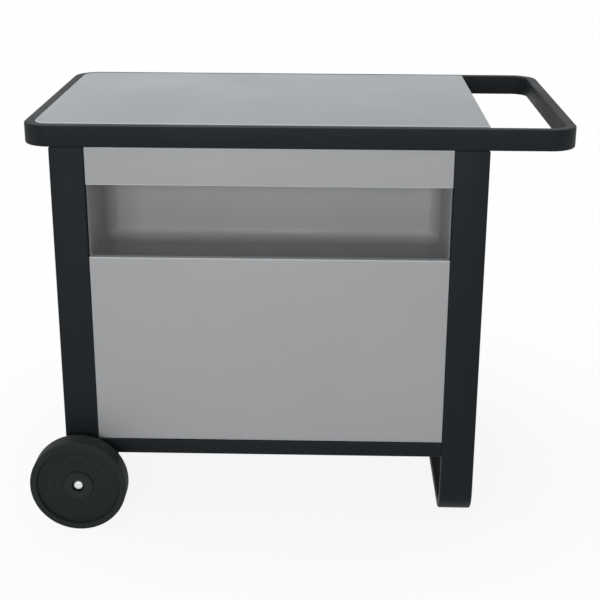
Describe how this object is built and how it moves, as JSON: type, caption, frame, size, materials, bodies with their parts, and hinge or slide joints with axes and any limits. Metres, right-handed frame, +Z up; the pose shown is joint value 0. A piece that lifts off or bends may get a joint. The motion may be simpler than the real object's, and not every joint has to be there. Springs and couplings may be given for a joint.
{
  "type": "grill cart with storage",
  "caption": "Outdoor grill cart: flat metal table in a tube loop that ends in a handle, open storage slot, front panel, rear bay with shelf, sled frame and axle with wheels.",
  "frame": {"origin": "on the floor under the middle of the cart, wheels included", "axes": "+X from the wheels towards the handle, +Y from the front to the open back, +Z up"},
  "size_m": [1.0405, 0.736, 0.8018],
  "materials": {
    "frame_black": "satin powder coat, near black",
    "table_grey": "satin powder coat, light silver grey",
    "panel_grey": "satin powder coat, silver grey",
    "inner_grey": "satin powder coat, silver grey",
    "wheel_black": "matt moulded plastic",
    "cap_chrome": "bright plated",
    "axle_steel": "zinc plated rod",
    "fastener_steel": "zinc plated"
  },
  "bodies": {
    "cart_frame": {"axle": "axle_steel", "axle_caps": "cap_chrome", "bin_screws": "fastener_steel", "bottom_rail_back": "frame_black", "bottom_rail_front": "frame_black", "bottom_shelf": "inner_grey", "centre_rail_back": "frame_black", "centre_rail_front": "frame_black", "cross_rail_left": "frame_black", "cross_rail_right": "frame_black", "front_fascia": "panel_grey", "front_panel_screws": "fastener_steel", "joint_plate_back_left": "frame_black", "joint_plate_back_right": "frame_black", "joint_plate_front_left": "frame_black", "joint_plate_front_right": "frame_black", "left_leg_frame": "frame_black", "leg_spigot_back_left": "frame_black", "leg_spigot_back_right": "frame_black", "leg_spigot_front_left": "frame_black", "leg_spigot_front_right": "frame_black", "lower_front_panel": "panel_grey", "plate_bolts": "fastener_steel", "right_leg_frame": "frame_black", "shelf_screws": "fastener_steel", "side_panel_left": "panel_grey", "side_panel_right": "panel_grey", "side_panel_screws": "fastener_steel", "side_rail_left": "frame_black", "side_rail_right": "frame_black", "spigot_bolts": "fastener_steel", "storage_bin": "inner_grey", "table_studs": "fastener_steel", "table_top": "table_grey", "top_rail_loop": "frame_black"},
    "front_wheel": {"wheel_front": "wheel_black"},
    "back_wheel": {"wheel_back": "wheel_black"}
  },
  "joints": [
    {"name": "front_wheel_spin", "type": "hinge", "parent": "cart_frame", "child": "front_wheel", "pos_m": [-0.42525, -0.348, 0.095], "axis": [0, 1, 0], "continuous": true},
    {"name": "back_wheel_spin", "type": "hinge", "parent": "cart_frame", "child": "back_wheel", "pos_m": [-0.42525, 0.348, 0.095], "axis": [0, 1, 0], "continuous": true}
  ]
}
